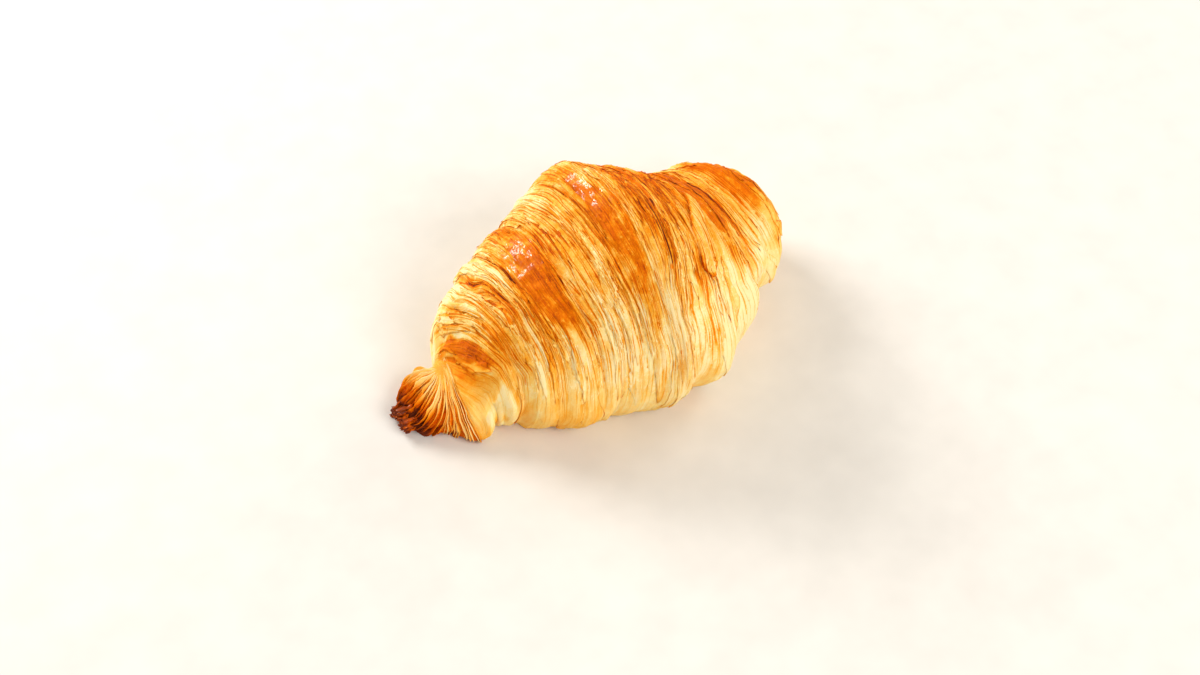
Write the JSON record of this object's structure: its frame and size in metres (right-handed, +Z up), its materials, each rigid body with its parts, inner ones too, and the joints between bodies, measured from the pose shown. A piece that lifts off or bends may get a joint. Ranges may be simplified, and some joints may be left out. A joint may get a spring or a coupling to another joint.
{
  "type": "butter croissant",
  "caption": "Baked butter croissant, a rolled and layered crescent-like loaf with overlapping wraps, a frayed tip and a flat underside.",
  "frame": {"origin": "middle of the bounding box at the level of the underside", "axes": "+X along the length, from the frayed tip to the blunt end, +Y to the back, +Z up"},
  "size_m": [0.1524, 0.0926, 0.0652],
  "materials": {
    "crust": "baked golden crust, satin egg wash on the wraps, pale flaky layers between and below them"
  },
  "bodies": {
    "root": {"croissant": "crust"}
  },
  "joints": []
}
